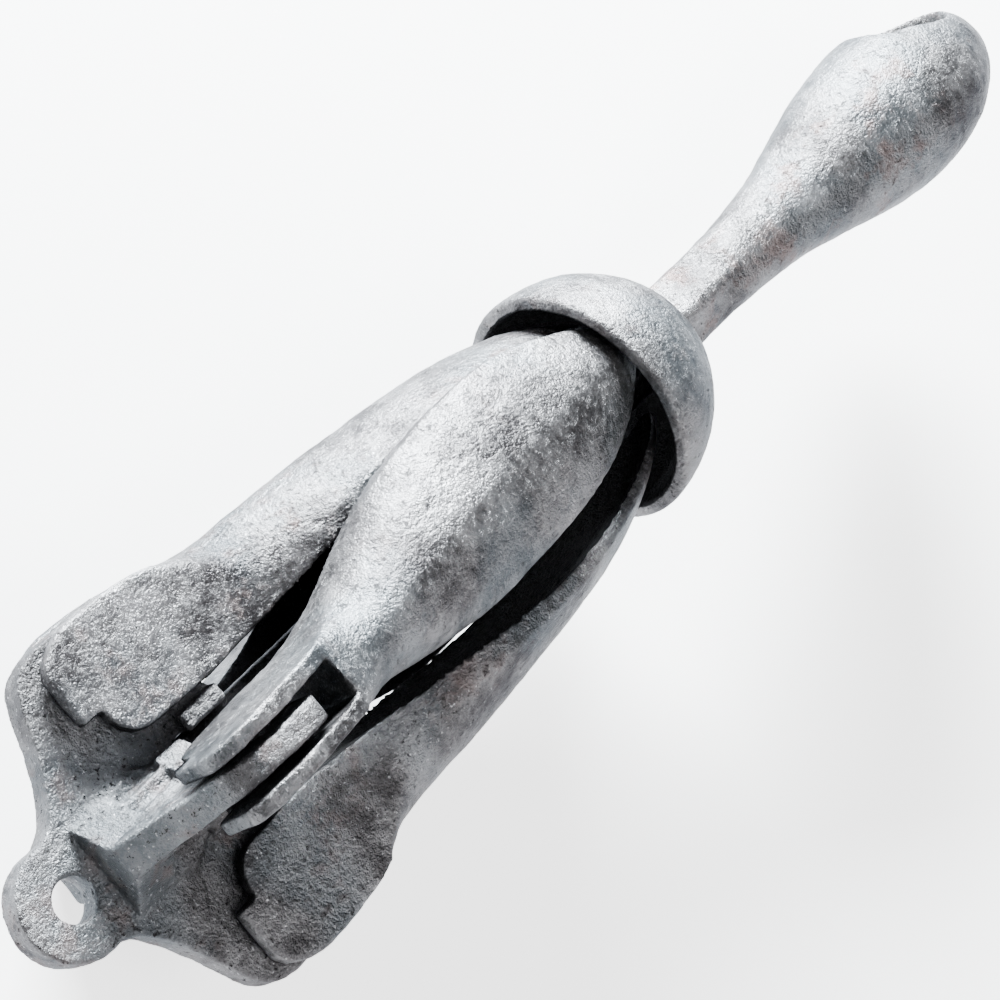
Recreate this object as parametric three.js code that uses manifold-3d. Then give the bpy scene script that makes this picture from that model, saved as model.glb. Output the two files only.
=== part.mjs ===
// Folding grapnel anchor for a small boat, folded up: a cast crown, a shank with a rope eye,
// four forked flukes on riveted pins and a bell-shaped collar that holds the fluke tips.
// Millimetres, +Z up. The shank lies along +X from the crown to the rope eye.
import * as THREE from 'three';
import { mergeVertices } from 'three/addons/utils/BufferGeometryUtils.js';
import Module from 'manifold-3d';

const wasm = await Module();
wasm.setup();

// ---- driving dimensions -------------------------------------------------------------------

const GAP = 0.3; // clearance between pieces that touch

// crown casting: two crossed plates on a four-sided hub
const PLATE = 6.2; // thickness of both crossed plates
const CROWN_R = 36.6; // from the shank axis to the outer edge of a lobe
const LOBE_TOP = 13.7; // from the pins to the bulb-side edge of the plates
const HUB_HALF = 13.6; // half the hub's diagonal
const HUB_START = 7; // crown end of the hub, from the trip hole
const HUB_END = 33; // bulb-side end of the hub
const LOBE_RIM = 4.6; // the upright lobes are drafted down to this at their rim
const TAB_R = 11.5; // round end of the trip-line tab
const TRIP_HOLE = 8.5; // bore of the trip-line hole

// hinge of each fluke
const PIN_X = 31.3; // pin from the trip hole, along the shank
const PIN_R = 20.3; // pin from the shank axis
const PIN_D = 6; // rivet diameter
const PIN_PLAY = 0.5; // clearance round the pin in the fork
const SIDE_PLAY = 1.1; // room on each side between a lobe and its fork
const LEAN = 2.5; // degrees that the top fluke leans over in that room
const SEAT_PLAY = 1.2; // room on each side between a heel and its seat in the hub

// fluke: a fork that becomes a leaf-shaped palm
const PRONG = 3.1; // thickness of one prong
const EYE_R = 7.1; // round inner end of a prong, about the pin
const HEEL = 12.8; // pin to the flat heel that stops the swing
const FORK_R = 36.6; // from the shank axis to the outer edge of the fork
const FORK_REACH = 18.7; // from the pin to the closed end of the fork's slot
const PALM_HALF = 16.8; // half the greatest width of the palm
const PALM_WIDE = 63; // from the slot's closed end to where the palm is widest
const PALM_T = 4.6; // thickness along the middle of the palm
const PALM_LENGTH = 113; // from the slot's closed end to the palm's point
const PALM_R = 27.3; // from the shank axis to the outer face, where the palm is widest
const TIP_T = 3.2; // thickness at the point of the palm
const TIP_GAP = 0.35; // room between the point and the shank
const PALM_INNER_R = 35; // inner face of the palm is this round across
const PALM_RIDGE = 1.5; // how far apart the two flanks' centres lie, which makes the ridge

// shank
const BAR_HALF = 8; // half the diagonal of the rounded square bar
const BAR_ROUND = 3.2; // corner radius of the bar
const TENON_D = 10; // round tenon on the bar's end
const TENON_END = 9.8; // end of the tenon inside the hub
const BULB_R = 17.6; // greatest radius of the bulb
const SHANK_END = 299; // end of the bulb, from the trip hole
const BULB_IN = 33; // from the shank's end to where the bulb is thickest
const BULB_LENGTH = 60; // from there back to where the bar starts to swell
const EYE_IN = 18; // from the shank's end to the rope eye
const EYE_D = 13; // bore of the rope eye
const EYE_FLARE = 5.2; // how much wider each mouth is, on the radius
const EYE_TURN = 25; // degrees from +Y towards +Z
const RIVET_D = 4; // rivet through hub and shank
const RIVET_X = 12.6; // rivet from the trip hole

// collar
const TIP_COVER = 13.5; // how far the rim reaches down over the fluke tips
const TIP_ROOM = 12.4; // from the tips on to the inside of the bell's end
const RIM_PLAY = 3.4; // room between the palms and the rim
const WALL = 3.1; // wall of the bell
const NECK = 0.7; // clearance round the shank

// places along the shank that follow from these, from the trip hole
const CROWN_TOP = PIN_X + LOBE_TOP;
const FORK_TOP = PIN_X + FORK_REACH;
const PALM_MID = FORK_TOP + PALM_WIDE;
const PALM_TIP = FORK_TOP + PALM_LENGTH;
const BULB_X = SHANK_END - BULB_IN;
const EYE_X = SHANK_END - EYE_IN;
const RIM_X = PALM_TIP - TIP_COVER;
const BELL = TIP_COVER + TIP_ROOM + WALL;

// ---- helpers ------------------------------------------------------------------------------

const rad = THREE.MathUtils.degToRad;

// a closed three.js geometry as a manifold solid
function solid(geometry) {
  const bare = geometry.index ? geometry.toNonIndexed() : geometry.clone();
  for (const name of Object.keys(bare.attributes)) {
    if (name !== 'position') bare.deleteAttribute(name);
  }
  const merged = mergeVertices(bare, 1e-4);
  const kept = [];
  const index = merged.index.array;
  for (let i = 0; i < index.length; i += 3) {
    const [a, b, c] = [index[i], index[i + 1], index[i + 2]];
    if (a !== b && b !== c && c !== a) kept.push(a, b, c);
  }
  return new wasm.Manifold(new wasm.Mesh({
    numProp: 3,
    vertProperties: new Float32Array(merged.attributes.position.array),
    triVerts: new Uint32Array(kept),
  }));
}

// a manifold solid as a three.js geometry
function geometryOf(body) {
  const mesh = body.getMesh();
  const geometry = new THREE.BufferGeometry();
  geometry.setAttribute('position', new THREE.BufferAttribute(mesh.vertProperties, 3));
  geometry.setIndex(new THREE.BufferAttribute(mesh.triVerts, 1));
  geometry.computeVertexNormals();
  return geometry;
}

// a box between two corners
function box(x0, x1, y0, y1, z0, z1) {
  const geometry = new THREE.BoxGeometry(x1 - x0, y1 - y0, z1 - z0);
  geometry.translate((x0 + x1) / 2, (y0 + y1) / 2, (z0 + z1) / 2);
  return solid(geometry);
}

// a plate from an outline in X-Y, centred on Z = 0
function slab(shape, thickness, curveSegments = 8) {
  const geometry = new THREE.ExtrudeGeometry(shape, {
    depth: thickness, bevelEnabled: false, curveSegments,
  });
  geometry.translate(0, 0, -thickness / 2);
  return geometry;
}

// turn an X-Y plate so that its outline lies in X-Z
function upright(geometry) {
  return geometry.rotateX(Math.PI / 2);
}

// a round bar along Z, turned by the caller
function rod(diameter, length, segments = 24) {
  return new THREE.CylinderGeometry(diameter / 2, diameter / 2, length, segments)
    .rotateX(Math.PI / 2);
}

// a profile of (distance along X, radius) points, turned about X
function turned(points, segments) {
  const profile = points.map(([x, r]) => new THREE.Vector2(Math.max(r, 0), x));
  return new THREE.LatheGeometry(profile, segments).rotateZ(-Math.PI / 2);
}

// a smooth run of points through a few given ones
function smooth(points, divisions) {
  const curve = new THREE.SplineCurve(points.map(([x, y]) => new THREE.Vector2(x, y)));
  return curve.getPoints(divisions).map((p) => [p.x, p.y]);
}

// an outline mirrored about X, from a run of points on its +Y side
function mirrored(points) {
  const other = points.filter(([, y]) => Math.abs(y) > 1e-6).map(([x, y]) => [x, -y]).reverse();
  return new THREE.Shape([...points, ...other].map(([x, y]) => new THREE.Vector2(x, y)));
}

// ---- crown --------------------------------------------------------------------------------

// how far a lobe may reach from the pin and still pass the closed end of the fork
const LOBE_REACH = FORK_TOP - PIN_X - 2 * GAP;

// the edge of one lobe, from the hub's crown end round to the middle of the bulb-side edge
function lobeEdge(startX, startR) {
  const rise = smooth([
    [startX, startR],
    [startX + 3.5, startR + 4.5],
    [PIN_X - 18.2, CROWN_R - 8.5],
    [PIN_X - 15, CROWN_R - 2.6],
    [PIN_X - 11, CROWN_R - 0.5],
  ], 12);
  const tipAngle = Math.acos(Math.min(1, (CROWN_TOP - 2 - PIN_X) / LOBE_REACH));
  const top = Math.asin(Math.min(1, (CROWN_R - PIN_R) / LOBE_REACH));
  const arc = [];
  for (let i = 0; i <= 4; i += 1) {
    const a = Math.max(top, tipAngle) + (tipAngle - Math.max(top, tipAngle)) * (i / 4);
    arc.push([PIN_X + LOBE_REACH * Math.cos(a), PIN_R + LOBE_REACH * Math.sin(a)]);
  }
  return [
    ...rise,
    ...arc,
    [CROWN_TOP - 2, PIN_R + 4],
    [CROWN_TOP - 1, PIN_R - 4],
    [CROWN_TOP, BAR_HALF],
    [CROWN_TOP, 0],
  ];
}

// the round end of the tab, from its middle to the waist
function tabEdge() {
  const points = [];
  for (let i = 0; i <= 8; i += 1) {
    const a = Math.PI - (i / 8) * rad(100);
    points.push([TAB_R * Math.cos(a), TAB_R * Math.sin(a)]);
  }
  return points;
}

function mainPlate() {
  return solid(slab(mirrored([...tabEdge(), ...lobeEdge(6.6, 16)]), PLATE));
}

// section of the upright lobes: full thickness at the hub, thinner at the rim
function lobeDraft() {
  const [full, rim] = [PLATE / 2, LOBE_RIM / 2];
  const shape = new THREE.Shape([
    [-CROWN_R, -rim], [-HUB_HALF, -full], [HUB_HALF, -full], [CROWN_R, -rim],
    [CROWN_R, rim], [HUB_HALF, full], [-HUB_HALF, full], [-CROWN_R, rim],
  ].map(([x, y]) => new THREE.Vector2(x, y)));
  const geometry = slab(shape, 2 * CROWN_TOP + 10).rotateY(Math.PI / 2);
  return solid(geometry);
}

function crossPlate() {
  const edge = [[HUB_START, 0], ...lobeEdge(HUB_START, 11.6)];
  return solid(upright(slab(mirrored(edge), PLATE))).intersect(lobeDraft());
}

// four-sided hub with an edge on each plate
function hubSolid() {
  const length = HUB_END - HUB_START;
  const geometry = new THREE.CylinderGeometry(HUB_HALF, HUB_HALF, length, 4)
    .rotateZ(-Math.PI / 2);
  geometry.translate(HUB_START + length / 2, 0, 0);
  return solid(geometry);
}

// half the width of a fork
const FORK_HALF = PLATE / 2 + SIDE_PLAY + PRONG;

// seats in the hub for the heels of the four open forks
const SEAT_FLOOR = PIN_R - HEEL - GAP;
const HEEL_CORNER = CROWN_R - 3.1 - PIN_R;

function heelSeats(hub) {
  let body = hub;
  for (let i = 0; i < 4; i += 1) {
    const half = FORK_HALF + SEAT_PLAY;
    const seat = box(PIN_X - HEEL_CORNER - 2.2, PIN_X + 4, -half, half, SEAT_FLOOR, CROWN_R);
    body = body.subtract(seat.rotate([90 * i, 0, 0]));
  }
  return body;
}

function barShape(half, round) {
  const shape = new THREE.Shape();
  const reach = half + round * (Math.SQRT2 - 1);
  const side = round * Math.SQRT1_2;
  for (let i = 0; i < 4; i += 1) {
    const a = (i * Math.PI) / 2;
    const centre = new THREE.Vector2(Math.cos(a), Math.sin(a)).multiplyScalar(reach - round * Math.SQRT2);
    if (i === 0) shape.moveTo(centre.x + side, centre.y - side);
    shape.absarc(centre.x, centre.y, round, a - Math.PI / 4, a + Math.PI / 4, false);
  }
  return shape;
}

// the rounded square bar along X, from x0 to x1
function bar(x0, x1, grow = 0) {
  const geometry = new THREE.ExtrudeGeometry(barShape(BAR_HALF + grow, BAR_ROUND + grow), {
    depth: x1 - x0, bevelEnabled: false, curveSegments: 4,
  });
  geometry.rotateY(Math.PI / 2);
  geometry.translate(x0, 0, 0);
  return solid(geometry);
}

// the round tenon along X
function tenon(x0, x1, grow = 0) {
  const geometry = new THREE.CylinderGeometry(TENON_D / 2 + grow, TENON_D / 2 + grow, x1 - x0, 24)
    .rotateZ(-Math.PI / 2);
  geometry.translate((x0 + x1) / 2, 0, 0);
  return solid(geometry);
}

// a hole for something of the given diameter along Z at (x, y)
function bore(diameter, length, x, y) {
  const geometry = rod(diameter, length);
  geometry.translate(x, y, 0);
  return solid(geometry);
}

const rivetLength = (HUB_HALF - 0.6) * Math.SQRT2;

function rivetSolid(diameter, length) {
  const geometry = rod(diameter, length, 20).rotateX(rad(45));
  geometry.translate(RIVET_X, 0, 0);
  return solid(geometry);
}

function crownSolid() {
  let body = heelSeats(hubSolid()).add(mainPlate()).add(crossPlate());
  body = body.subtract(bore(TRIP_HOLE, 3 * PLATE, 0, 0));
  for (let i = 0; i < 4; i += 1) {
    const hole = bore(PIN_D + 2 * GAP, 2 * PLATE, PIN_X, PIN_R).rotate([90 * i, 0, 0]);
    body = body.subtract(hole);
  }
  body = body.subtract(bar(HUB_END, CROWN_TOP + 5, GAP));
  body = body.subtract(tenon(TENON_END - GAP, HUB_END + 1, GAP));
  return body.subtract(rivetSolid(RIVET_D + 2 * GAP, 3 * HUB_HALF));
}

// ---- fluke, made pointing up from the shank axis, outline in X-Z ---------------------------

// side view of the fork and of the rib that runs on under the palm
function forkOutline() {
  const heelX = PIN_X - HEEL;
  const shape = new THREE.Shape();
  shape.moveTo(heelX, PIN_R + 0.8);
  shape.lineTo(heelX, CROWN_R - 5.4);
  shape.lineTo(heelX + 1.6, CROWN_R - 3.2);
  shape.splineThru([
    new THREE.Vector2(heelX + 5.6, FORK_R - 1.1),
    new THREE.Vector2(PIN_X - 2, FORK_R),
    new THREE.Vector2(PIN_X + 9, FORK_R - 0.6),
    new THREE.Vector2(FORK_TOP - 1, FORK_R - 2.3),
    new THREE.Vector2(FORK_TOP + 7, FORK_R - 4.9),
    new THREE.Vector2(FORK_TOP + 16, FORK_R - 7),
  ]);
  shape.lineTo(FORK_TOP + 34, FORK_R - 8.6);
  shape.lineTo(FORK_TOP + 34, FORK_R - 9.6);
  shape.lineTo(FORK_TOP + 20, FORK_R - 14);
  shape.lineTo(FORK_TOP + 9, PIN_R - EYE_R + 3.5);
  shape.lineTo(FORK_TOP + 2, PIN_R - EYE_R);
  shape.lineTo(PIN_X, PIN_R - EYE_R);
  shape.absarc(PIN_X, PIN_R, EYE_R, -Math.PI / 2, -Math.PI * 0.96, true);
  shape.closePath();
  return shape;
}

// a place between the palm's widest section (0) and its point (1)
const alongPalm = (t) => PALM_MID + t * (PALM_TIP - PALM_MID);

// outer face of the palm along its middle, as (x, distance from the shank axis)
const TIP_R = BAR_HALF + TIP_GAP + TIP_T;
const fallTo = (t) => PALM_R - t * (PALM_R - TIP_R);
const PALM_LINE = smooth([
  [FORK_TOP - 2, FORK_R - 3.6],
  [FORK_TOP + 8, FORK_R - 5.5],
  [FORK_TOP + 20, FORK_R - 6.4],
  [FORK_TOP + PALM_WIDE * 0.67, PALM_R + 2.1],
  [alongPalm(0.04), PALM_R],
  [alongPalm(0.4), fallTo(0.17)],
  [alongPalm(0.66), fallTo(0.41)],
  [alongPalm(0.86), fallTo(0.72)],
  [PALM_TIP, TIP_R],
  [PALM_TIP + 1, TIP_R - 0.7],
], 22);

// distance from the shank axis to the palm's outer face at x
function palmRadius(x) {
  const next = PALM_LINE.findIndex(([at]) => at >= x);
  const [[x0, r0], [x1, r1]] = [PALM_LINE[next - 1], PALM_LINE[next]];
  return r0 + ((x - x0) / (x1 - x0)) * (r1 - r0);
}

// plan of the palm: half widths along X
function palmPlan() {
  const points = smooth([
    [FORK_TOP - 1, FORK_HALF - 0.2],
    [FORK_TOP + 10, FORK_HALF + 0.8],
    [FORK_TOP + 20, FORK_HALF + 2.6],
    [FORK_TOP + 32, PALM_HALF * 0.84],
    [FORK_TOP + 45, PALM_HALF * 0.97],
    [PALM_MID, PALM_HALF],
    [alongPalm(0.3), PALM_HALF * 0.93],
    [alongPalm(0.52), PALM_HALF * 0.78],
    [alongPalm(0.72), PALM_HALF * 0.56],
    [alongPalm(0.88), PALM_HALF * 0.32],
    [PALM_TIP - 1, PALM_HALF * 0.12],
    [PALM_TIP, 0],
  ], 30);
  return mirrored([[FORK_TOP - 1, 0], ...points]);
}

// thinner towards the point
function palmThickness(x) {
  const t = Math.min(1, Math.max(0, (x - PALM_MID) / (PALM_TIP - PALM_MID)));
  return PALM_T - (PALM_T - TIP_T) * t * t;
}

function palmSolid() {
  const first = PALM_LINE[0];
  const last = PALM_LINE[PALM_LINE.length - 1];
  const flank = PALM_LINE.map(([x, r]) => [x, Math.hypot(r, PALM_RIDGE)]);
  const half = turned([[first[0], 0], ...flank, [last[0], 0]], 64);
  const outer = solid(half.clone().translate(0, PALM_RIDGE, 0))
    .intersect(solid(half.translate(0, -PALM_RIDGE, 0)));
  const sink = PALM_INNER_R - 22;
  const inside = PALM_LINE.map(([x, r]) => [x, r - palmThickness(x) + sink]);
  const core = turned([
    [first[0] - 3, 0], [first[0] - 3, inside[0][1]], ...inside,
    [last[0] + 3, inside[inside.length - 1][1]], [last[0] + 3, 0],
  ], 96);
  core.translate(0, 0, -sink);
  const plan = slab(palmPlan(), 60);
  plan.translate(0, 0, 30);
  return outer.intersect(solid(plan)).subtract(solid(core));
}

function flukeSolid() {
  const fork = solid(upright(slab(forkOutline(), 2 * FORK_HALF)));
  const half = PLATE / 2 + SIDE_PLAY;
  const slot = box(0, FORK_TOP, -half, half, 0, 2 * FORK_R);
  const hole = solid(upright(rod(PIN_D + 2 * PIN_PLAY, 4 * FORK_HALF)).translate(PIN_X, 0, PIN_R));
  return fork.add(palmSolid()).subtract(slot).subtract(hole);
}

function pinSolid() {
  return solid(upright(rod(PIN_D, 2 * FORK_HALF - 0.1)).translate(PIN_X, 0, PIN_R));
}

// ---- shank --------------------------------------------------------------------------------

function bulbSolid() {
  const swell = (t) => BAR_HALF + t * (BULB_R - BAR_HALF);
  const line = smooth([
    [BULB_X - BULB_LENGTH - 10, BAR_HALF - 2.2],
    [BULB_X - BULB_LENGTH, BAR_HALF - 0.4],
    [BULB_X - BULB_LENGTH * 0.73, swell(0.18)],
    [BULB_X - BULB_LENGTH * 0.47, swell(0.54)],
    [BULB_X - BULB_LENGTH * 0.23, swell(0.87)],
    [BULB_X, BULB_R],
    [BULB_X + BULB_IN * 0.39, BULB_R * 0.91],
    [BULB_X + BULB_IN * 0.7, BULB_R * 0.7],
    [BULB_X + BULB_IN * 0.89, BULB_R * 0.44],
    [SHANK_END - 0.6, BULB_R * 0.17],
  ], 26);
  return solid(turned([[line[0][0], 0], ...line, [SHANK_END, 0]], 40));
}

// the rope eye: a bore with rounded mouths
function eyeSolid() {
  const reach = BULB_R * 0.72;
  const line = [];
  for (let i = -6; i <= 6; i += 1) {
    const a = (i / 6) * reach;
    const bend = 1 - Math.sqrt(1 - Math.min(0.98, (a / reach) ** 2));
    line.push([a, EYE_D / 2 + EYE_FLARE * bend]);
  }
  const end = EYE_D / 2 + EYE_FLARE * 1.5;
  const far = BULB_R * 1.6;
  const geometry = turned([[-far, 0], [-far, end], ...line, [far, end], [far, 0]], 32);
  geometry.rotateZ(Math.PI / 2).rotateX(rad(EYE_TURN));
  geometry.translate(EYE_X, 0, 0);
  return solid(geometry);
}

function shankSolid() {
  return bar(HUB_END + GAP, BULB_X - BULB_LENGTH * 0.9).add(tenon(TENON_END, HUB_END + 2)).add(bulbSolid())
    .subtract(eyeSolid())
    .subtract(rivetSolid(RIVET_D + 2 * GAP, 3 * HUB_HALF));
}

// ---- collar -------------------------------------------------------------------------------

const RIM_R = palmRadius(RIM_X) + RIM_PLAY + WALL;

function bellLine(radius, depth, lip) {
  const points = [];
  for (let i = 0; i <= 10; i += 1) {
    const a = (i / 10) * rad(80);
    points.push([RIM_X + lip + (depth - lip) * Math.sin(a), radius * Math.cos(a)]);
  }
  return points;
}

function collarSolid() {
  const neckR = BAR_HALF + BAR_ROUND * (Math.SQRT2 - 1) + NECK;
  const outside = bellLine(RIM_R, BELL, 4);
  const inside = bellLine(RIM_R - WALL, BELL - WALL, 4).reverse();
  const profile = [
    [RIM_X, RIM_R - 0.8],
    ...outside.filter(([, r]) => r > neckR + 1),
    [RIM_X + BELL, neckR + 1],
    [RIM_X + BELL, neckR],
    [RIM_X + BELL - WALL - 0.6, neckR],
    ...inside.filter(([, r]) => r > neckR + 1),
    [RIM_X, RIM_R - WALL + 0.6],
    [RIM_X, RIM_R - 0.8],
  ];
  return solid(turned(profile, 56));
}

// ---- assembly -----------------------------------------------------------------------------

const zinc = { color: 0x9a9aa2, roughness: 0.5, metalness: 0.85 };

function mesh(name, body, look = zinc) {
  const made = new THREE.Mesh(geometryOf(body), new THREE.MeshStandardMaterial(look));
  made.name = name;
  return made;
}

const anchor = new THREE.Group();
anchor.position.set(-(SHANK_END - TAB_R) / 2, 0, FORK_R);

anchor.add(mesh('crown_casting', crownSolid(), { ...zinc, roughness: 0.62 }));
anchor.add(mesh('shank', shankSolid()));
anchor.add(mesh('shank_rivet', rivetSolid(RIVET_D, rivetLength)));
anchor.add(mesh('locking_collar', collarSolid(), { ...zinc, roughness: 0.45 }));

const SIDES = ['top', 'right', 'bottom', 'left'];
SIDES.forEach((side, i) => {
  const seat = new THREE.Group();
  seat.rotation.x = rad(90 * i);
  const leaning = new THREE.Group();
  leaning.position.x = PIN_X;
  leaning.rotation.z = side === 'top' ? rad(LEAN) : 0;
  const fluke = mesh(`fluke_${side}`, flukeSolid().translate([-PIN_X, 0, 0]));
  leaning.add(fluke);
  seat.add(leaning);
  seat.add(mesh(`fluke_pin_${side}`, pinSolid()));
  anchor.add(seat);
});

export default anchor;
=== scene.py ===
import math
import bpy
from mathutils import Matrix, Vector


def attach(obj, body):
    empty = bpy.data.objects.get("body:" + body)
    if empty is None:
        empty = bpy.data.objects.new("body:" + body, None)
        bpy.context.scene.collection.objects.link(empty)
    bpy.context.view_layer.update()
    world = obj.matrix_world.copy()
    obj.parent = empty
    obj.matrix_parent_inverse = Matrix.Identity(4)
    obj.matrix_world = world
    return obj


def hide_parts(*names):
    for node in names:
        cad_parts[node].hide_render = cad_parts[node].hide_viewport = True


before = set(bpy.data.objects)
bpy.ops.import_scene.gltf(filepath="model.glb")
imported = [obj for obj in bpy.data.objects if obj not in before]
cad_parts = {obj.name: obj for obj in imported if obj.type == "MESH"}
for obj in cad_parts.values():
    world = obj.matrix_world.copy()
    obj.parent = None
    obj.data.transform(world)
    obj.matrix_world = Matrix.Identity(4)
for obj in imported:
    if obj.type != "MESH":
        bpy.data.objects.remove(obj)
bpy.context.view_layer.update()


# ---- camera -------------------------------------------------------------------------------
# A long lens above the crown end, looking along the folded anchor with the shank running
# away to the upper right.

camera_data = bpy.data.cameras.new("camera")
camera_data.lens = 115.94
camera_data.sensor_width = 36.0
camera = bpy.data.objects.new("camera", camera_data)
camera.location = (-0.37208, 0.08243, 0.53494)
camera.rotation_euler = [math.radians(a) for a in (18.5146, -31.2799, -46.3821)]
bpy.context.scene.collection.objects.link(camera)
bpy.context.scene.camera = camera


# ---- crown casting ------------------------------------------------------------------------
# Two crossed plates on a four-sided hub with a tab for the trip line, sand cast in iron in one
# piece and dipped in zinc. Each plate is traced as an outline and drawn out to its thickness, the
# plates and the hub are joined, and a fine remesh gives the fillets and rounded edges.

MM = 0.001
TRIP_HOLE = Vector((-0.14375, 0.0, 0.0366))  # centre of the trip-line hole: the pattern's zero
PIN_X, PIN_R = 31.3, 20.3                    # pins from the trip hole and from the shank axis
PLATE = 6.2                                  # thickness of the main plate


def deselect():
    """Leaves edit mode with nothing selected."""
    if bpy.context.mode != "OBJECT":
        bpy.ops.object.mode_set(mode="OBJECT")
    bpy.ops.object.select_all(action="DESELECT")


def take(piece):
    """Makes one piece the selected and active one."""
    deselect()
    piece.select_set(True)
    bpy.context.view_layer.objects.active = piece


def trace(name, points):
    """A line drawn point by point, in millimetres, left in edit mode with all of it selected."""
    deselect()
    bpy.context.tool_settings.mesh_select_mode = (True, False, False)
    bpy.ops.mesh.primitive_plane_add(size=MM)
    bpy.context.object.name = name
    bpy.ops.object.mode_set(mode="EDIT")
    bpy.ops.mesh.merge(type="CENTER")
    bpy.ops.transform.translate(value=Vector(points[0]) * MM)
    for start, end in zip(points, points[1:]):
        step = (Vector(end) - Vector(start)) * MM
        bpy.ops.mesh.extrude_region_move(TRANSFORM_OT_translate={"value": step})
    bpy.ops.mesh.select_all(action="SELECT")
    return bpy.context.object


def tidy_mesh():
    """Closes the mesh in hand: doubles merged, faces pointing outwards, back in object mode."""
    bpy.ops.mesh.select_all(action="SELECT")
    bpy.ops.mesh.remove_doubles(threshold=1e-6)
    bpy.ops.mesh.normals_make_consistent(inside=False)
    bpy.ops.object.mode_set(mode="OBJECT")


def plate(name, outline, along, low, high):
    """An outline in the two other directions, drawn out along X, Y or Z from low to high."""
    def place(a, b):
        corner = [a, b]
        corner.insert("XYZ".index(along), low)
        return corner
    piece = trace(name, [place(a, b) for a, b in outline])
    bpy.ops.mesh.edge_face_add()
    step = Vector((0.0, 0.0, 0.0))
    step["XYZ".index(along)] = (high - low) * MM
    bpy.ops.mesh.extrude_region_move(TRANSFORM_OT_translate={"value": step})
    tidy_mesh()
    return piece


def block(name, x, y, z):
    """A square block between three pairs of limits."""
    deselect()
    bpy.ops.mesh.primitive_cube_add(size=1)
    piece = bpy.context.object
    piece.name = name
    piece.scale = [(high - low) * MM for low, high in (x, y, z)]
    piece.location = [(high + low) / 2 * MM for low, high in (x, y, z)]
    bpy.ops.object.transform_apply(location=True, rotation=True, scale=True)
    return piece


def rod(name, radius, length, centre, turn, vertices=48):
    """A round rod; turn is the rotation from standing along Z, in degrees."""
    deselect()
    bpy.ops.mesh.primitive_cylinder_add(
        vertices=vertices, radius=radius * MM, depth=length * MM,
        location=[c * MM for c in centre], rotation=[math.radians(t) for t in turn])
    bpy.context.object.name = name
    bpy.ops.object.transform_apply(location=True, rotation=True, scale=True)
    return bpy.context.object


def combine(piece, tool, how):
    """Joins, cuts or intersects a piece with a tool, which is used up."""
    take(piece)
    bpy.ops.object.modifier_add(type="BOOLEAN")
    joint = piece.modifiers[-1]
    joint.operation = how
    joint.solver = "EXACT"
    joint.object = tool
    bpy.ops.object.modifier_apply(modifier=joint.name)
    bpy.data.objects.remove(tool)
    return piece


def turned_round(piece, quarter):
    """Turns a piece about the shank axis by quarter turns."""
    take(piece)
    piece.rotation_euler.x = math.pi / 2 * quarter
    bpy.ops.object.transform_apply(location=True, rotation=True, scale=True)
    return piece


def curve(points, count):
    """Points along a smooth line through a few given ones."""
    line = []
    last = len(points) - 1
    for i in range(count + 1):
        t = i / count * last
        k = min(int(t), last - 1)
        f = t - k
        p = [Vector(points[min(max(k + j, 0), last)]) for j in (-1, 0, 1, 2)]
        line.append(tuple(0.5 * (2 * p[1] + (p[2] - p[0]) * f
                                 + (2 * p[0] - 5 * p[1] + 4 * p[2] - p[3]) * f * f
                                 + (3 * p[1] - p[0] - 3 * p[2] + p[3]) * f ** 3)))
    return line


def as_cast(piece, voxel, rounds, dents):
    """Fillets, rounded edges and the faint waviness of a casting, put in its place."""
    take(piece)
    bpy.ops.object.modifier_add(type="REMESH")
    skin = piece.modifiers[-1]
    skin.mode = "VOXEL"
    skin.voxel_size = voxel * MM
    bpy.ops.object.modifier_apply(modifier=skin.name)
    bpy.ops.object.modifier_add(type="SMOOTH")
    soften = piece.modifiers[-1]
    soften.factor = 0.5
    soften.iterations = rounds
    bpy.ops.object.modifier_apply(modifier=soften.name)
    for size, depth in dents:
        clouds = bpy.data.textures.new(f"{piece.name}_{size}", "CLOUDS")
        clouds.noise_scale = size * MM
        clouds.noise_depth = 2
        bpy.ops.object.modifier_add(type="DISPLACE")
        wave = piece.modifiers[-1]
        wave.texture = clouds
        wave.texture_coords = "LOCAL"
        wave.mid_level = 0.5
        wave.strength = depth * MM
        bpy.ops.object.modifier_apply(modifier=wave.name)
    piece.location = TRIP_HOLE
    bpy.ops.object.transform_apply(location=True, rotation=True, scale=True)
    bpy.ops.object.shade_smooth()
    return piece


def both_sides(edge):
    """An outline mirrored about the shank axis."""
    return edge + [(x, -y) for x, y in reversed(edge) if abs(y) > 1e-6]


TAB = [(-11.1 * math.cos(math.radians(a)), 10.9 * math.sin(math.radians(a)))
       for a in range(0, 101, 10)]
LOBE_BACK = [(39.2, 36.2), (41.4, 35.2), (43, 33.8), (43.2, 24), (45, 16), (46, 8), (46, 0)]
main_edge = (TAB + curve([(5.2, 12.3), (7.9, 15.5), (11.2, 20.9), (14.6, 29.0), (17.4, 33.6),
                          (21.4, 35.7), (26, 36.2)], 18) + LOBE_BACK)
crown = plate("crown", both_sides(main_edge), "Z", -PLATE / 2, PLATE / 2)

rim = curve([(7, 11.6), (11.5, 17.3), (17, 25), (21, 31), (24.5, 34.4), (30, 35.9), (36, 36.2)], 16)
upright = plate("upright", both_sides([(7, 0)] + rim + LOBE_BACK), "Y", -4, 4)
draft = plate("draft", [(-3.5, -11), (-2.35, -37), (2.35, -37), (3.5, -11), (3.5, 11), (2.35, 37),
                        (-2.35, 37), (-3.5, 11)], "X", 0, 60)
crown = combine(crown, combine(upright, draft, "INTERSECT"), "UNION")

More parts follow.
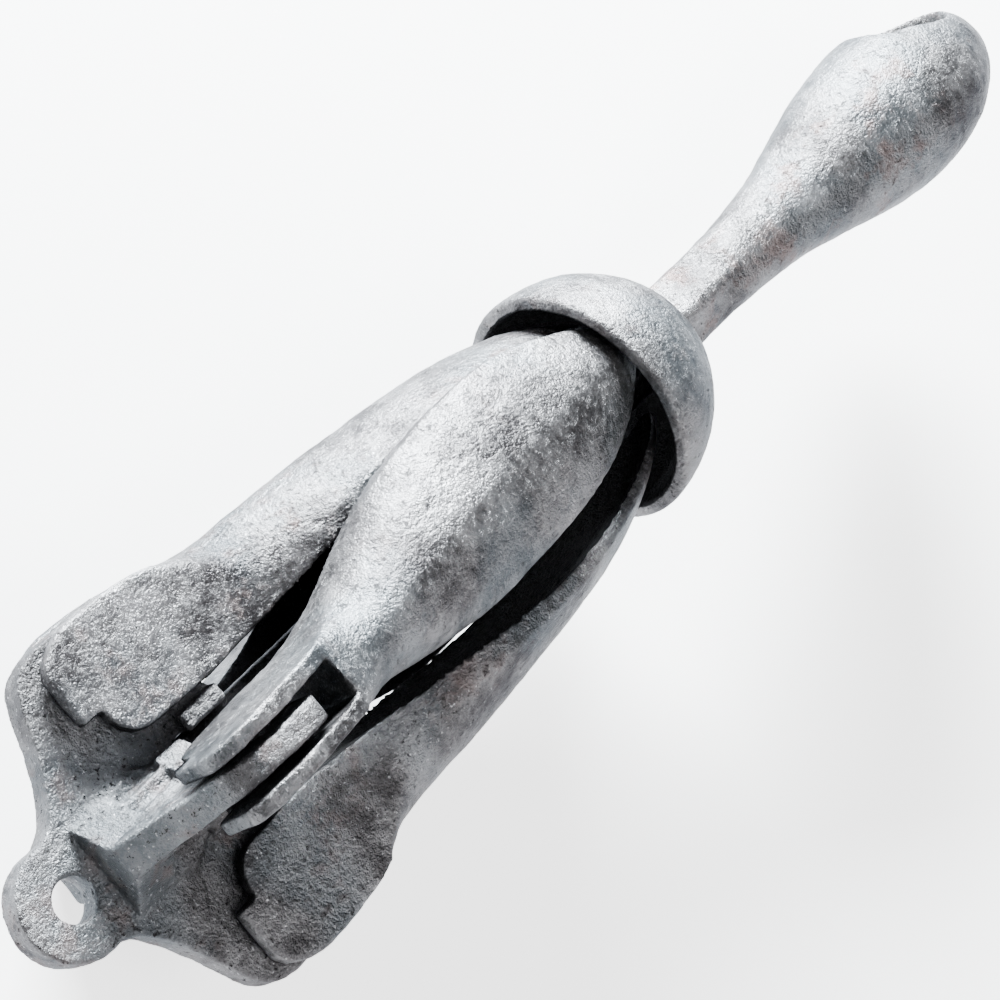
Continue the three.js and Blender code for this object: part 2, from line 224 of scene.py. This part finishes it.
# hub, with the four seats that the heels of the open forks come down on
hub = plate("hub", [(10.3, -3.0), (10.3, 3.0), (3.4, 10.4), (-3.0, 12.6), (-10.3, 3.0),
                    (-10.3, -3.0), (-3.2, -12.0), (3.2, -12.0)], "X", 7, 33.5)
take(hub)
for quarter in range(4):
    for side in (-1, 1):
        seat = block("seat", (16.5, 27), sorted((side * 4.0, side * 9.9)), (6.6, 30))
        combine(hub, turned_round(seat, quarter), "DIFFERENCE")
crown = combine(crown, hub, "UNION")
for quarter in range(4):
    for side in (-1, 1):
        lug = block("lug", (35.6, 45.6), sorted((side * 7.6, side * 11.4)), (1, 6.4))
        combine(crown, turned_round(lug, quarter), "UNION")
        spot = rod("spot", 13.2, 2, (PIN_X, PIN_R, side * (PLATE / 2 + 0.55)), (0, 0, 0), 64)
        combine(crown, turned_round(spot, quarter), "DIFFERENCE")
combine(crown, rod("trip", 4.25, 30, (0, 0, 0), (0, 0, 0)), "DIFFERENCE")
combine(crown, rod("socket", 8.4, 30, (48.6, 0, 0), (0, 90, 0)), "DIFFERENCE")
as_cast(crown, 0.5, 5, [(9, 0.5), (2.2, 0.35)])


class Value:
    """A socket that can be used in sums."""

    def __init__(self, finish, socket):
        self.finish, self.socket = finish, socket

    def sum(self, how, first, second):
        return self.finish.node("ShaderNodeMath", {"operation": how}, {0: first, 1: second})

    def __add__(self, other):
        return self.sum("ADD", self, other)

    __radd__ = __add__

    def __mul__(self, other):
        return self.sum("MULTIPLY", self, other)

    __rmul__ = __mul__

    def __sub__(self, other):
        return self.sum("SUBTRACT", self, other)

    def __rsub__(self, other):
        return self.sum("SUBTRACT", other, self)


class Finish:
    """A material whose nodes are added one by one."""

    def __init__(self, name):
        self.material = bpy.data.materials.new(name)
        self.material.use_nodes = True
        self.tree = self.material.node_tree
        self.tree.nodes.clear()

    def node(self, kind, settings, sockets, out=0):
        """A node of a kind, with its settings and the values or links of its sockets."""
        node = self.tree.nodes.new(kind)
        for key, value in settings.items():
            setattr(node, key, value)
        for key, value in sockets.items():
            if isinstance(value, Value):
                self.tree.links.new(value.socket, node.inputs[key])
            else:
                node.inputs[key].default_value = value
        return None if out is None else Value(self, node.outputs[out])

    def grain(self, place, size, detail, rough):
        """A noise whose features are about this many millimetres across."""
        return self.node("ShaderNodeTexNoise", {}, {
            "Vector": place, "Scale": 1000.0 / size, "Detail": detail, "Roughness": rough})

    def band(self, value, low, high):
        """0 at low and 1 at high, with a smooth step between."""
        return self.node("ShaderNodeMapRange", {"interpolation_type": "SMOOTHSTEP"}, {
            "Value": value, "From Min": low, "From Max": high, "To Min": 0.0, "To Max": 1.0})

    def blend(self, amount, first, second):
        """The first colour, or the second where amount is 1."""
        return self.node("ShaderNodeMix", {"data_type": "RGBA"}, {
            0: amount, 6: first, 7: second}, 2)


def hot_zinc(name, sand, stain, shine, painted_inner_shade=0.0):
    """Hot-dip zinc over a casting: sand is how coarse the skin is, stain how much warm bloom,
    shine its middle roughness, and the last argument how much painted shade darkens the faces
    that look in at the shank, standing in for the shade inside and between the parts."""
    f = Finish(name)
    place = f.node("ShaderNodeTexCoord", {}, {}, "Object")
    broad = f.grain(place, 17, 3.0, 0.55)
    cloud = f.grain(place, 5.5, 5.0, 0.65)
    sandy = f.grain(place, 1.5, 4.0, 0.7)
    fine = f.grain(place, 0.6, 2.0, 0.6)
    pit = f.band(f.grain(place, 1.5, 5.0, 0.8), 0.57, 0.65)
    speck = f.band(f.grain(place, 0.7, 2.0, 0.5), 0.64, 0.74)
    warm = f.band(f.grain(place, 12, 5.0, 0.7), 0.53, 0.68)
    cold = f.band(f.grain(place, 24, 2.0, 0.5), 0.45, 0.62)

    tone = f.band(broad * 0.38 + cloud * 0.34 + sandy * 0.28, 0.40, 0.62)
    colour = f.blend(tone, (0.045, 0.043, 0.045, 1), (0.20, 0.198, 0.205, 1))
    colour = f.blend(cold * 0.4, colour, (0.11, 0.13, 0.145, 1))
    colour = f.blend(warm * stain, colour, (0.135, 0.082, 0.070, 1))
    colour = f.blend(pit * (0.5 + 0.45 * sand), colour, (0.014, 0.013, 0.014, 1))
    colour = f.blend(speck * (0.10 + 0.30 * sand), colour, (0.66, 0.67, 0.70, 1))

    rough = f.band(cloud * 0.5 + sandy * 0.5, 0.25, 0.75) * 0.20 + (shine - 0.08) + pit * 0.25
    # Painted shade: faces turned in towards the shank axis are darkened to near black, standing in
    # for the shade that falls inside and between the parts.
    if painted_inner_shade:
        out = f.node("ShaderNodeVectorMath", {"operation": "SUBTRACT"}, {
            0: place, 1: (0.0, 0.0, TRIP_HOLE.z)})
        out = f.node("ShaderNodeVectorMath", {"operation": "MULTIPLY"}, {0: out, 1: (0, 1, 1)})
        out = f.node("ShaderNodeVectorMath", {"operation": "NORMALIZE"}, {0: out})
        facing = f.node("ShaderNodeVectorMath", {"operation": "DOT_PRODUCT"}, {
            0: out, 1: f.node("ShaderNodeTexCoord", {}, {}, "Normal")}, "Value")
        inner_shade_mask = f.band(facing, 0.05, -0.35)
        # near-black painted shade colour on the inward faces
        colour = f.blend(inner_shade_mask * painted_inner_shade, colour, (0.012, 0.012, 0.013, 1))
        rough = rough + inner_shade_mask * 0.3
    height = (sandy * (0.5 + 1.3 * sand) + fine * (0.25 + 0.6 * sand) + cloud * 0.8
              - pit * (0.35 + 0.7 * sand))
    bump = f.node("ShaderNodeBump", {}, {
        "Strength": 0.6, "Distance": 0.00085, "Height": height})
    shader = f.node("ShaderNodeBsdfPrincipled", {}, {
        "Base Color": colour, "Metallic": 0.85, "Roughness": rough, "Normal": bump,
        "Specular Tint": (0.35, 0.36, 0.38, 1)})
    f.node("ShaderNodeOutputMaterial", {}, {"Surface": shader}, None)
    return f.material


crown.data.materials.clear()
crown.data.materials.append(hot_zinc("zinc_crown", 1.0, 0.35, 0.46))
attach(crown, "anchor_frame")
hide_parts("crown_casting")


# ---- shank --------------------------------------------------------------------------------
# A forged bar, square with rounded corners, that swells into a heavy bulb with the rope eye
# through it. Its tenon sits in the hub; the bar and the bulb are joined and blended in one skin.

BAR = 6.35           # half across the flats of the bar
BULB = [(190, 5.0), (198, 7.6), (208, 8.3), (222, 9.9), (238, 13.3), (252, 16.4), (266, 17.6),
        (279, 16.3), (288, 12.9), (294.5, 8.2), (298.3, 3.4)]
EYE_X = 283.5
EYE_TURN = 15.0


def spun(name, profile, steps=96):
    """A profile of (distance along the shank, radius), spun about the shank axis."""
    piece = trace(name, [(x, 0, r) for x, r in profile])
    bpy.ops.mesh.spin(steps=steps, angle=2 * math.pi, center=(0, 0, 0), axis=(1, 0, 0))
    tidy_mesh()
    return piece


corner = 2.6
section = []
for i in range(4):
    for j in range(5):
        a = math.radians(90 * i + 45 + (j - 2) * 22.5)
        mid = math.radians(90 * i + 45)
        reach = (BAR - corner) * math.sqrt(2)
        section.append((reach * math.cos(mid) + corner * math.cos(a),
                        reach * math.sin(mid) + corner * math.sin(a)))
shank = plate("shank_bar", section, "X", 33.3, 205)
take(shank)
shank.rotation_euler.x = math.pi / 4
bpy.ops.object.transform_apply(location=True, rotation=True, scale=True)
combine(shank, rod("tenon", 5, 30, (24.8, 0, 0), (0, 90, 0)), "UNION")
combine(shank, spun("bulb", [(190, 0)] + curve(BULB, 40) + [(299, 0)]), "UNION")
mouth = []
for i in range(-12, 13):
    a = i / 12
    mouth.append((a * 15.8, 6.5 + 10.0 * (1 - math.sqrt(1 - min(0.985, a * a)))))
eye = spun("eye", [(-26, 0), (-26, 15)] + mouth + [(26, 15), (26, 0)], 64)
take(eye)
eye.rotation_euler.z = math.pi / 2
bpy.ops.object.transform_apply(location=True, rotation=True, scale=True)
eye.rotation_euler.x = math.radians(EYE_TURN)
eye.location = (EYE_X * MM, 0, 0)
bpy.ops.object.transform_apply(location=True, rotation=True, scale=True)
combine(shank, eye, "DIFFERENCE")
as_cast(shank, 0.55, 7, [(14, 0.6), (3, 0.25)])
shank.name = "shank_forging"
shank.data.materials.clear()
shank.data.materials.append(hot_zinc("zinc_shank", 0.45, 0.5, 0.36))
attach(shank, "anchor_frame")
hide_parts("shank")


# ---- flukes -------------------------------------------------------------------------------
# Four, cast in iron: a fork with two flat prongs that becomes a leaf-shaped palm, hollow on its
# inner face, with a soft ridge down the outer one. One is modelled and copied round the shank.
# The top one leans in the play of its fork, and the top and bottom palms are set a little aside.

FORK_IN, FORK_OUT = 4.2, 7.3      # inner and outer faces of the prongs, from the middle
FORK_END = 50.0                   # closed end of the fork's slot
LEAN = 2.5                        # of the top fluke, in degrees
TOP_SET, TOP_SPAN = 2.2, (60, 156)        # how far a palm is set aside, and where along the shank
BOTTOM_SET, BOTTOM_SPAN = 1.8, (56, 136)

fork_top = curve([(25.0, 35.4), (29.8, 36.4), (37, 36.2), (43, 35.6), (47, 34.9), (50.4, 33.9)], 14)
side_view = ([(20.2, 20.9), (20.2, 31.2), (21.6, 33.4)] + fork_top
             + [(50.6, 12.9), (46, 12.6), (42, 12.8), (31.3, 13.2), (29.4, 13.4), (27.3, 14.3),
                (25.6, 16.2), (24.8, 18.4), (24.4, 20.9)])
fluke = plate("fluke_top", side_view, "Y", -FORK_OUT, FORK_OUT)

# the palm in sections along the shank: crest, half width, height of the rim's upper and lower
# edges, middle of the inner face, and how round the back is (0.5 a half round, 1 a shallow arch)
SECTIONS = [
    (47.5, 34.6, 7.2, 33.6, 12.7, 12.7, 0.14), (51, 33.7, 7.35, 31.8, 13.0, 13.0, 0.22),
    (56, 32.3, 7.8, 27.4, 13.4, 13.5, 0.36), (61, 31.2, 8.6, 22.6, 13.7, 14.2, 0.48),
    (65, 30.7, 9.5, 20.2, 14.0, 15.4, 0.52), (70, 30.5, 11.0, 19.3, 14.5, 17.4, 0.56),
    (76, 30.3, 12.9, 19.3, 15.2, 19.8, 0.62), (84, 29.9, 14.9, 20.0, 15.9, 21.8, 0.74),
    (92, 29.4, 16.2, 20.9, 16.9, 23.2, 0.86), (103, 28.4, 16.9, 21.4, 17.8, 23.2, 0.96),
    (114, 27.5, 16.9, 21.2, 18.2, 22.6, 1.0), (126, 26.0, 16.2, 19.9, 17.2, 21.3, 1.0),
    (136, 23.9, 14.0, 18.4, 15.9, 19.5, 1.0), (145, 21.3, 11.0, 17.0, 14.4, 17.2, 1.0),
    (152, 18.2, 7.9, 15.2, 12.9, 14.6, 1.0), (158, 14.9, 4.7, 13.3, 11.3, 11.9, 1.0),
    (162, 12.3, 1.9, 11.6, 9.9, 10.0, 1.0), (163, 11.5, 0.8, 11.2, 10.0, 10.0, 1.0),
]


sections = []
count = 2 * (len(SECTIONS) - 1)
xs = curve([(row[0], row[1], row[2]) for row in SECTIONS], count)
rims = curve([(row[3], row[4], row[5]) for row in SECTIONS], count)
backs = curve([(row[6], 0, 0) for row in SECTIONS], count)
for (x, crest, half), (rim, under, middle), (back, _, _) in zip(xs, rims, backs):
    loop = []
    for i in range(25):
        a = math.pi / 2 * (-1 + i / 12)
        y = half * math.sin(a)
        ridge = 0.55 * max(0.0, 1 - abs(y) / 5.0) * min(1, max(0, (x - 56) / 6))
        loop.append((x, y, rim + (crest - rim) * max(math.cos(a), 0) ** (2 * back) + ridge))
    for i in range(13):
        t = 1 - i / 6
        loop.append((x, (half - 0.15) * t, under + (middle - under) * (1 - t * t)))
    ring = trace("section", loop + [loop[0]])
    bpy.ops.mesh.remove_doubles(threshold=1e-6)
    deselect()
    sections.append(ring)
for ring in sections:
    ring.select_set(True)
bpy.context.view_layer.objects.active = sections[0]
bpy.ops.object.join()
palm = bpy.context.object
bpy.ops.object.mode_set(mode="EDIT")
bpy.ops.mesh.select_all(action="SELECT")
bpy.ops.mesh.bridge_edge_loops()
bpy.ops.mesh.select_all(action="SELECT")
bpy.ops.mesh.fill_holes(sides=0)
tidy_mesh()
combine(fluke, palm, "UNION")
combine(fluke, block("slot", (0, FORK_END), (-FORK_IN, FORK_IN), (0, 60)), "DIFFERENCE")
combine(fluke, rod("bore", 3.3, 12.8, (PIN_X, 0, PIN_R), (90, 0, 0)), "DIFFERENCE")

# The palms' zinc carries painted shade: faces that look in at the shank are darkened to near black.
palm_zinc = [hot_zinc(f"zinc_fluke_{side}", sand, stain, 0.34, 0.95)
             for side, sand, stain in (("top", 0.3, 0.12), ("right", 0.65, 0.30),
                                       ("bottom", 0.6, 0.3), ("left", 0.65, 0.4))]


def set_aside(piece, most, span, power):
    """Bows a palm sideways between two places along the shank, the most in the middle."""
    for point in piece.data.vertices:
        part = (point.co.x / MM - span[0]) / (span[1] - span[0])
        point.co.y += most * MM * math.sin(math.pi * min(max(part, 0), 1)) ** power


for quarter, side in enumerate(("top", "right", "bottom", "left")):
    take(fluke)
    bpy.ops.object.duplicate()
    copy = bpy.context.object
    copy.name = f"fluke_{side}_casting"
    if side == "top":
        pivot = Matrix.Translation((PIN_X * MM, 0, 0))
        copy.data.transform(pivot @ Matrix.Rotation(math.radians(LEAN), 4, "Z") @ pivot.inverted())
        set_aside(copy, TOP_SET, TOP_SPAN, 1.5)
    if side == "bottom":
        set_aside(copy, BOTTOM_SET, BOTTOM_SPAN, 2)
    turned_round(copy, quarter)
    as_cast(copy, 0.5, 4, [(11, 0.5), (2.4, 0.2)])
    copy.data.materials.clear()
    copy.data.materials.append(palm_zinc[quarter])
    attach(copy, f"fluke_{side}_body")
    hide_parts(f"fluke_{side}")
bpy.data.objects.remove(fluke)


# ---- pins and rivet -----------------------------------------------------------------------
# Steel rivets, peened flush and covered by the same zinc: one through each fork and its lobe,
# and one across the hub that holds the shank's tenon.

rivet_zinc = hot_zinc("zinc_rivets", 0.5, 0.3, 0.45)
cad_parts["shank_rivet"].data.materials.clear()
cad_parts["shank_rivet"].data.materials.append(rivet_zinc)
for quarter, side in enumerate(("top", "right", "bottom", "left")):
    pin = rod(f"pin_{side}", 3.0, 12.4, (PIN_X, 0, PIN_R), (90, 0, 0))
    bpy.ops.object.modifier_add(type="BEVEL")
    edge = pin.modifiers[-1]
    edge.width = 0.5 * MM
    edge.segments = 3
    bpy.ops.object.modifier_apply(modifier=edge.name)
    turned_round(pin, quarter)
    pin.location = TRIP_HOLE
    bpy.ops.object.transform_apply(location=True, rotation=True, scale=True)
    bpy.ops.object.shade_smooth_by_angle()
    pin.data.materials.clear()
    pin.data.materials.append(rivet_zinc)
    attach(pin, "anchor_frame")
    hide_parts(f"fluke_pin_{side}")


# ---- locking collar -----------------------------------------------------------------------
# A bell cast in iron, open towards the flukes, whose flat lip comes down over their tips. It is
# spun from one profile, with a clear fit round the bar of the shank.

RIM_X = 149.5
outside = curve([(RIM_X + 0.6, 26.0), (154, 25.7), (160, 24.3), (165.5, 21.8), (170.3, 18.3),
                 (174.2, 14.0), (176.4, 9.6)], 20)
inside = curve([(173.4, 9.3), (170.6, 13.6), (167, 17.2), (162.4, 20.2), (157, 22.0),
                (RIM_X + 0.6, 22.9)], 20)
collar = spun("collar_bell", [(RIM_X, 25.5)] + outside + [(176.8, 9.0)] + inside
              + [(RIM_X, 23.2), (RIM_X, 25.5)], 128)
as_cast(collar, 0.5, 3, [(12, 0.5), (2.6, 0.25)])
collar.data.materials.clear()
# The collar's zinc carries painted shade: faces that look in at the shank, inside the bell, are
# darkened to near black.
collar.data.materials.append(hot_zinc("zinc_collar", 0.5, 0.18, 0.38, 0.95))
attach(collar, "collar")
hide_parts("locking_collar")


# ---- floor and lights ---------------------------------------------------------------------
# A plain pale floor under soft studio light, the main softbox on the rope-eye side.

deselect()
bpy.ops.mesh.primitive_plane_add(size=6, location=(0, 0, -0.0002))
floor = bpy.context.object
floor.name = "floor"
paint = Finish("floor_paint")
base = paint.node("ShaderNodeBsdfPrincipled", {}, {
    "Base Color": (0.92, 0.92, 0.92, 1), "Roughness": 0.9, "Metallic": 0.0,
    "Emission Color": (1.0, 1.0, 1.0, 1), "Emission Strength": 1.9})
paint.node("ShaderNodeOutputMaterial", {}, {"Surface": base}, None)
floor.data.materials.append(paint.material)


def softbox(name, towards, distance, size, power, colour=(1, 1, 1)):
    """A lamp that faces the anchor from a direction and a distance in metres."""
    lamp = bpy.data.lights.new(name, "AREA")
    lamp.shape = "RECTANGLE"
    lamp.size, lamp.size_y = size
    lamp.energy = power
    lamp.color = colour
    lamp_object = bpy.data.objects.new(name, lamp)
    place = Vector(towards).normalized() * distance
    lamp_object.location = place + Vector((0, 0, 0.04))
    lamp_object.rotation_euler = place.to_track_quat("Z", "Y").to_euler()
    bpy.context.scene.collection.objects.link(lamp_object)


softbox("key", (0.50, 0.80, 0.26), 0.9, (0.55, 0.16), 150, (0.92, 0.98, 1.0))
softbox("top", (-0.25, -0.3, 1.0), 1.3, (0.6, 0.6), 16)
softbox("fill", (0.2, -0.9, 0.4), 1.4, (0.8, 0.8), 13, (1.0, 0.97, 0.96))
world = bpy.data.worlds.new("studio")
world.use_nodes = True
world.node_tree.nodes["Background"].inputs["Color"].default_value = (0.8, 0.82, 0.85, 1)
world.node_tree.nodes["Background"].inputs["Strength"].default_value = 0.30
bpy.context.scene.world = world
